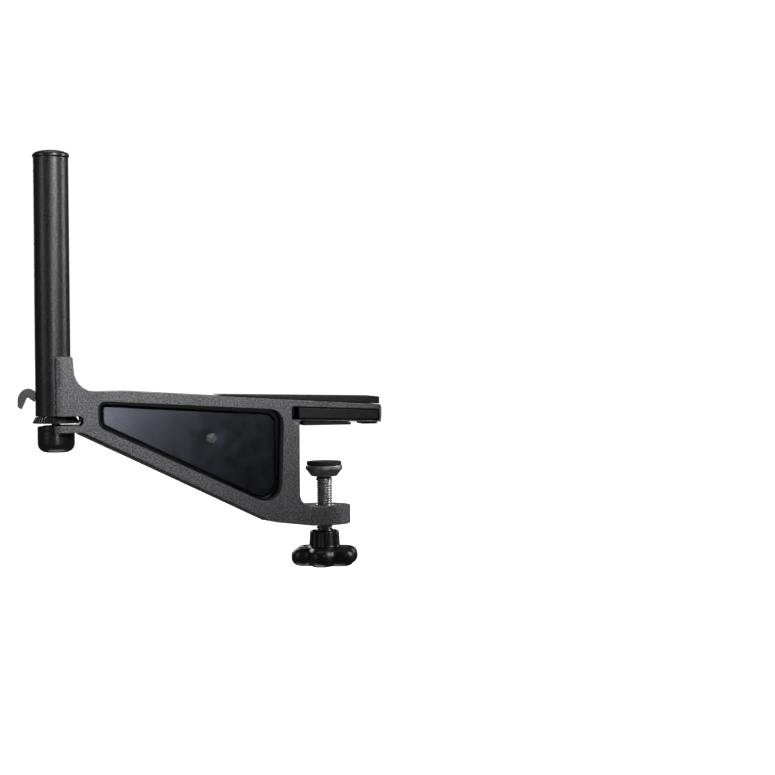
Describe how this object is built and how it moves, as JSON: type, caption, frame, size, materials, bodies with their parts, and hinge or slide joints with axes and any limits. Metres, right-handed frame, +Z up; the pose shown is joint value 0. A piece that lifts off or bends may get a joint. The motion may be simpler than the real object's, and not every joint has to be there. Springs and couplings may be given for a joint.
{
  "type": "table tennis net clamp",
  "caption": "Screw clamp for a table tennis table's edge: a cast triangular arm carries a round, height-adjusted net post with a slotted cap and a cord hook.",
  "frame": {"origin": "where the clamp screw's axis meets the plane of the tabletop, on the contact face of the upper jaw's rubber pad", "axes": "+Z up; +X from the net post along the net towards the middle of the table; +Y to the far side of the net"},
  "size_m": [0.2106, 0.0394, 0.2431],
  "materials": {
    "casting_coat": "black sand-texture powder coat on die-cast aluminium",
    "post_coat": "black fine-texture powder coat on steel tube",
    "nylon": "dark grey moulded nylon",
    "panel_plastic": "satin black moulded plastic",
    "rivet_paint": "grey cast-look rivet head",
    "cover_plastic": "smooth black moulded plastic",
    "black_plastic": "satin black moulded plastic",
    "wheel_plastic": "black moulded plastic, knurled",
    "knob_plastic": "black moulded plastic",
    "insert_plastic": "dark grey moulded plastic",
    "rubber": "black rubber",
    "hook_plastic": "dark grey moulded plastic",
    "zinc_plated_steel": "bright zinc plate",
    "blackened_steel": "blackened steel",
    "die_cast_zinc": "as-cast grey"
  },
  "bodies": {
    "bracket": {"bracket_casting": "casting_coat", "cradle_liner": "nylon", "front_panel": "panel_plastic", "rear_panel": "panel_plastic", "panel_rivet": "rivet_paint", "jaw_top_cover": "cover_plastic", "jaw_front_insert": "insert_plastic", "jaw_rear_insert": "insert_plastic", "jaw_pad": "rubber", "jaw_tip_foot": "rubber", "thread_insert": "die_cast_zinc", "end_cup": "black_plastic", "lug_bush": "nylon"},
    "net_post": {"post_tube": "post_coat", "post_cap": "black_plastic", "cord_hook": "hook_plastic", "post_plug": "nylon", "post_nut": "zinc_plated_steel", "guide_key": "nylon", "guide_screw": "zinc_plated_steel"},
    "height_adjuster": {"thumbwheel": "wheel_plastic", "adjuster_screw": "blackened_steel", "spindle_clip": "blackened_steel"},
    "clamp_foot": {"pressure_foot": "die_cast_zinc", "foot_pad": "rubber", "foot_clip": "blackened_steel"},
    "knob_and_screw": {"clamp_screw": "zinc_plated_steel", "star_knob": "knob_plastic"}
  },
  "joints": [
    {"name": "post_slide", "type": "slide", "parent": "bracket", "child": "net_post", "axis": [0, 0, 1], "range_m": [0, 0.005]},
    {"name": "wheel_turn", "type": "hinge", "parent": "bracket", "child": "height_adjuster", "pos_m": [-0.157, 0, 0.005], "axis": [0, 0, 1], "range_deg": [-2252, 0]},
    {"name": "foot_slide", "type": "slide", "parent": "bracket", "child": "clamp_foot", "axis": [0, 0, 1], "range_m": [-0.016, 0.0038]},
    {"name": "screw_turn", "type": "hinge", "parent": "clamp_foot", "child": "knob_and_screw", "pos_m": [0, 0, -0.03], "axis": [0, 0, 1], "range_deg": [-3842, 914]}
  ],
  "couplings": [
    {"joint": "wheel_turn", "follows": "post_slide", "rad_per_m": -7854},
    {"joint": "screw_turn", "follows": "foot_slide", "rad_per_m": 4188.8}
  ]
}
